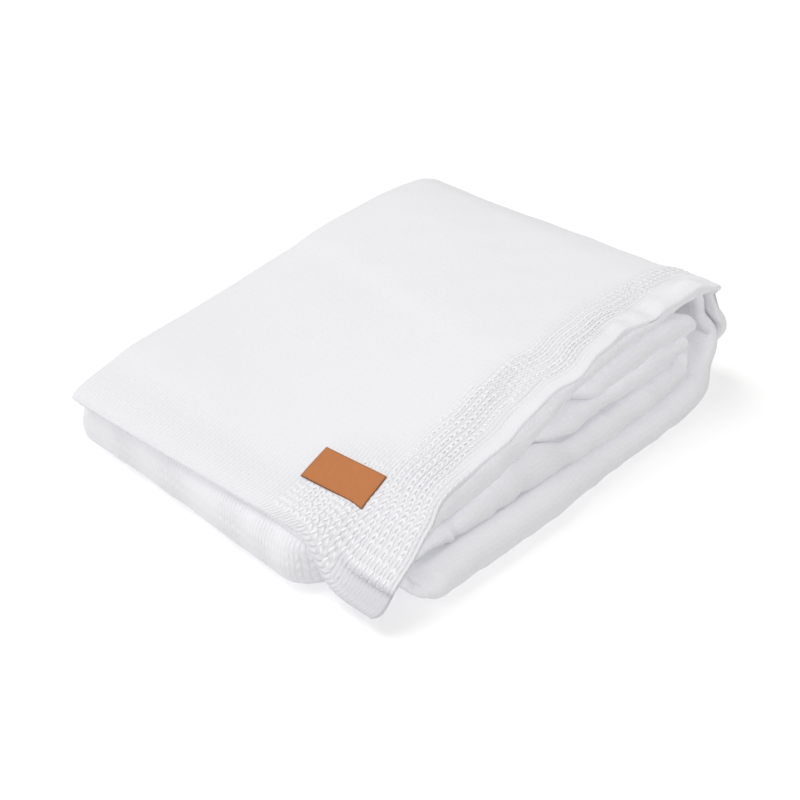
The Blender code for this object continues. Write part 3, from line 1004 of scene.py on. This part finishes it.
@dataclass
class StrandTree:
    """A Geometry Nodes tree that lays one short rounded strand on each point it is given."""

    name: str = "lay_strands"
    rings: int = 6
    segments: int = 8

    def build(self) -> bpy.types.NodeTree:
        """Builds the tree, with its sizes and its finish as named inputs.

        Returns:
            The tree.
        """
        tree = bpy.data.node_groups.new(self.name, "GeometryNodeTree")
        face = tree.interface
        face.new_socket("Points", in_out="INPUT", socket_type="NodeSocketGeometry")
        for name, value in (("Length", 0.007), ("Width", 0.0035), ("Height", 0.003)):
            face.new_socket(name, in_out="INPUT", socket_type="NodeSocketFloat").default_value = value
        face.new_socket("Yarn", in_out="INPUT", socket_type="NodeSocketMaterial")
        face.new_socket("Strands", in_out="OUTPUT", socket_type="NodeSocketGeometry")
        given = add_node(tree, "NodeGroupInput")
        shape = {"Segments": self.segments, "Rings": self.rings, "Radius": 0.5}
        ball = add_node(tree, "GeometryNodeMeshUVSphere", None, shape)
        sizes = {i: given.outputs[name] for i, name in enumerate(("Length", "Width", "Height"))}
        size = add_node(tree, "ShaderNodeCombineXYZ", None, sizes)
        stretch = {"Geometry": ball.outputs["Mesh"], "Scale": size.outputs[0]}
        strand = add_node(tree, "GeometryNodeTransform", None, stretch)
        smooth = add_node(tree, "GeometryNodeSetShadeSmooth", None, {"Geometry": strand.outputs["Geometry"]})
        read = {}
        for name, kind in (("lie", "FLOAT_VECTOR"), ("rise", "FLOAT_VECTOR"), ("swell", "FLOAT")):
            node = add_node(tree, "GeometryNodeInputNamedAttribute", {"data_type": kind}, {"Name": name})
            read[name] = node.outputs["Attribute"]
        align = "FunctionNodeAlignRotationToVector"
        first = add_node(tree, align, {"axis": "X"}, {"Vector": read["lie"]})
        upright = {"Rotation": first.outputs[0], "Vector": read["rise"]}
        turned = add_node(tree, align, {"axis": "Z", "pivot_axis": "X"}, upright)
        placed = {"Points": given.outputs["Points"], "Instance": smooth.outputs["Geometry"]}
        placed |= {"Rotation": turned.outputs[0], "Scale": read["swell"]}
        laid = add_node(tree, "GeometryNodeInstanceOnPoints", None, placed)
        real = add_node(tree, "GeometryNodeRealizeInstances", None, {"Geometry": laid.outputs["Instances"]})
        worn = {"Geometry": real.outputs["Geometry"], "Material": given.outputs["Yarn"]}
        dressed = add_node(tree, "GeometryNodeSetMaterial", None, worn)
        add_node(tree, "NodeGroupOutput", None, {"Strands": dressed.outputs["Geometry"]})
        return tree


@dataclass
class Strands:
    """A set of equal strands laid on points, such as a row of sewing or the knit's stitches."""

    name: str
    tree: bpy.types.NodeTree
    yarn: bpy.types.Material
    length_mm: float
    width_mm: float
    height_mm: float

    def build(self, spots: Array, lie: Array, rise: Array, swell: Array) -> bpy.types.Object:
        """Lays the strands and turns them into a plain mesh.

        Args:
            spots: the strands' middles, in metres.
            lie: the way each one runs.
            rise: the way each one's top faces.
            swell: each one's size as a share.

        Returns:
            The finished object.
        """
        data = bpy.data.meshes.new(self.name + "_points")
        data.from_pydata(spots.tolist(), [], [])
        for name, values in (("lie", lie), ("rise", rise)):
            data.attributes.new(name, "FLOAT_VECTOR", "POINT").data.foreach_set("vector", values.ravel())
        data.attributes.new("swell", "FLOAT", "POINT").data.foreach_set("value", swell)
        points = place_object(self.name + "_points", data)
        modifier = points.modifiers.new("strands", "NODES")
        modifier.node_group = self.tree
        sizes = {
            "Length": self.length_mm * MM,
            "Width": self.width_mm * MM,
            "Height": self.height_mm * MM,
            "Yarn": self.yarn,
        }
        for item in self.tree.interface.items_tree:
            if item.name in sizes and item.in_out == "INPUT":
                modifier[item.identifier] = sizes[item.name]
        graph = bpy.context.evaluated_depsgraph_get()
        mesh = bpy.data.meshes.new_from_object(points.evaluated_get(graph), depsgraph=graph)
        points.modifiers.clear()
        bpy.data.objects.remove(points, do_unlink=True)
        mesh.name = self.name
        LOG.info("%s: %d strands, %d faces", self.name, len(spots), len(mesh.polygons))
        return place_object(self.name, mesh)


def unit(arrows: Array) -> Array:
    """Makes each arrow one long."""
    return arrows / np.linalg.norm(arrows, axis=1, keepdims=True)


@dataclass
class RaisedKnit:
    """The chunky stitches that stand out of the border and the front corner."""

    cloth: KnittedCloth
    tree: bpy.types.NodeTree
    yarn: bpy.types.Material
    stitch_mm: float = 6.4
    overlap: float = 1.24
    width_mm: float = 3.6
    height_mm: float = 2.2
    sunk_mm: float = 0.5
    # How far a strand runs along the cloth and leans across it, for its heading.
    ahead_mm: float = 1.6
    aside_mm: float = 0.95
    # Where stitches may lie, and how deep the knit has to be there for them.
    last_mm: float = 520.0
    columns: int = 26
    least_depth: float = 0.55
    # How far a stitch's two strands lie from its middle, in ribs, and how far they stray.
    apart: float = 0.24
    stray_across_mm: float = 0.25
    stray_along_mm: float = 0.3
    seed: int = 11

    def spots(self) -> tuple[Array, Array]:
        """Picks the middles of the stitches that stand out.

        Returns:
            Their distances along and across the cloth.
        """
        rib, stitch = self.cloth.finish.rib_mm, self.stitch_mm
        first = self.cloth.hem_mm + 5
        along = np.arange(first - 2 * stitch, self.last_mm, stitch)
        s, v = np.meshgrid(along, np.arange(0, self.columns) * rib + rib, indexing="ij")
        s, v = s.ravel(), v.ravel()
        # The hem's front corner is sewn flat, so none stand out of it.
        sewn_flat = (s <= first - 1) & (v <= self.cloth.hem_corner + 6)
        kept = (self.cloth.knit_depth(s, v) > self.least_depth) & ~sewn_flat
        return s[kept], v[kept]

    def build(self) -> bpy.types.Object:
        """Lays two leaning strands for each stitch.

        Returns:
            The finished object.
        """
        cloth, sunk = self.cloth, -self.sunk_mm
        s, v = self.spots()
        rng = np.random.default_rng(self.seed)
        at = cloth.line.row_at(s)
        edge = cloth.line.along("edge", at) + cloth.ripple(at)
        found = []
        for hand in (-1, 1):
            off = hand * self.apart * cloth.finish.rib_mm + rng.normal(0, self.stray_across_mm, len(s))
            y = edge + cloth.line.cloth / 2 + v - cloth.sway(s) + off
            here = s + rng.normal(0, self.stray_along_mm, len(s))
            spot = cloth.on_top(here, y, sunk)
            lie = cloth.on_top(here + self.ahead_mm, y - hand * self.aside_mm, sunk) - spot
            side = cloth.on_top(here, y + 1.5, sunk) - spot
            found.append((spot, lie, np.cross(cloth.on_top(here + 1.5, y, sunk) - spot, side)))
        spot, lie, rise = (np.concatenate(parts) for parts in zip(*found))
        depth = np.tile(cloth.knit_depth(s, v), 2)
        far = np.tile(ramp(s, 150, 200), 2)
        swell = (0.6 + 0.4 * depth) * (1 - 0.22 * far) * rng.uniform(0.9, 1.08, len(depth))
        length = self.stitch_mm * self.overlap
        laid = Strands("raised_knit", self.tree, self.yarn, length, self.width_mm, self.height_mm)
        return laid.build(spot * MM, unit(lie), unit(rise), swell)


@dataclass
class Sewing:
    """The row of plain sewing that holds the hem down."""

    cloth: KnittedCloth
    tree: bpy.types.NodeTree
    thread: bpy.types.Material
    start_mm: float = 2.0
    pace_mm: float = 4.6
    length_mm: float = 3.4
    width_mm: float = 0.9
    height_mm: float = 0.8
    lift_mm: float = 0.1

    def hem(self) -> bpy.types.Object:
        """Sews the hem down, one stitch every few millimetres.

        Returns:
            The finished object.
        """
        cloth, lift = self.cloth, self.lift_mm
        y = np.arange(self.start_mm, cloth.outer_end, self.pace_mm)
        s = np.full(len(y), cloth.hem_mm + 1.0)
        spot = cloth.on_top(s, y, lift)
        lie = unit(cloth.on_top(s, y + 1.0, lift) - spot)
        rise = unit(np.cross(cloth.on_top(s + 3.0, y, lift) - cloth.on_top(s - 3.0, y, lift), lie))
        sewn = Strands("hem_sewing", self.tree, self.thread, self.length_mm, self.width_mm, self.height_mm)
        return sewn.build(spot * MM, lie, rise, np.ones(len(y)))


@dataclass
class Studio:
    """A white floor, soft light from above and the camera."""

    camera_at: tuple[float, float, float] = (-0.94824, -0.85732, 0.90424)
    heading_deg: float = 43.0236
    pitch_deg: float = 34.6072
    lens_mm: float = 72.0
    world_strength: float = 0.43
    sun_strength: float = 0.82
    fill_strength: float = 1.4
    fill_pitch_deg: float = 66.0
    fill_heading_deg: float = 14.0
    sun_turn_deg: tuple[float, float] = (-20.0, -14.0)
    sun_spread_deg: float = 34.0
    fill_spread_deg: float = 60.0
    floor_reach: float = 40.0
    floor_drop: float = 0.0004
    board_tint: tuple[float, float, float] = (1.0, 0.994, 0.95)
    lamp_tint: tuple[float, float, float] = (0.98, 0.98, 1.0)
    floor: StudioFloor = StudioFloor()

    def build(self) -> None:
        """Makes the floor, the lights and the camera."""
        scene = bpy.context.scene
        data = bpy.data.meshes.new("studio_floor")
        reach = self.floor_reach
        corners = [(-reach, -reach, 0), (reach, -reach, 0), (reach, reach, 0), (-reach, reach, 0)]
        data.from_pydata(corners, [], [(0, 1, 2, 3)])
        ground = place_object("studio_floor", data, self.floor.material("paper_sweep"))
        ground.location.z = -self.floor_drop
        world = bpy.data.worlds.new("soft_studio")
        world.use_nodes = True
        back = world.node_tree.nodes["Background"]
        back.inputs["Color"].default_value = (*self.board_tint, 1.0)
        back.inputs["Strength"].default_value = self.world_strength
        scene.world = world
        turn = (*(math.radians(angle) for angle in self.sun_turn_deg), 0.0)
        self.sun("key_light", self.sun_strength, self.sun_spread_deg, turn, True)
        # White boards all round a studio set fill the folds, so this light casts no shadow.
        towards = (math.radians(90 - self.fill_pitch_deg), 0.0, math.radians(self.fill_heading_deg - 90))
        self.sun("fill_light", self.fill_strength, self.fill_spread_deg, towards, False)
        data = bpy.data.cameras.new("camera")
        data.lens = self.lens_mm
        data.sensor_width = 36.0
        data.clip_end = 120.0
        camera = bpy.data.objects.new("camera", data)
        camera.location = self.camera_at
        pitch, heading = math.radians(90 - self.pitch_deg), math.radians(self.heading_deg - 90)
        camera.rotation_euler = (pitch, 0.0, heading)
        scene.collection.objects.link(camera)
        scene.camera = camera
        scene.view_settings.view_transform = "Standard"

    def sun(self, name: str, strength: float, spread: float, turn: tuple[float, ...], shadow: bool) -> None:
        """Adds one broad soft light.

        Args:
            name: the light's name.
            strength: its power.
            spread: how wide it looks from the object, in degrees.
            turn: its rotation.
            shadow: whether it casts one.
        """
        data = bpy.data.lights.new(name, "SUN")
        data.energy = strength
        data.color = self.lamp_tint
        data.angle = math.radians(spread)
        data.use_shadow = shadow
        light = bpy.data.objects.new(name, data)
        light.rotation_euler = turn
        bpy.context.scene.collection.objects.link(light)


def main() -> None:
    logging.basicConfig(level=logging.INFO, format="%(name)s: %(message)s")
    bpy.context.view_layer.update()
    Studio().build()
    cloth = KnittedCloth(FoldLine())
    bedspread = cloth.build()
    patch = LeatherPatch(cloth)
    face = patch.build()
    tree = StrandTree().build()
    yarn = CottonThread().material("cotton_yarn")
    knit = RaisedKnit(cloth, tree, yarn).build()
    hem = Sewing(cloth, tree, yarn).hem()
    for piece in (bedspread, face, knit, hem):
        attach(piece, "root")
        LOG.info("%s rides on root", piece.name)
    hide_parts("knitted_cloth")
    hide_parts("leather_patch")


if __name__ == "__main__":
    main()
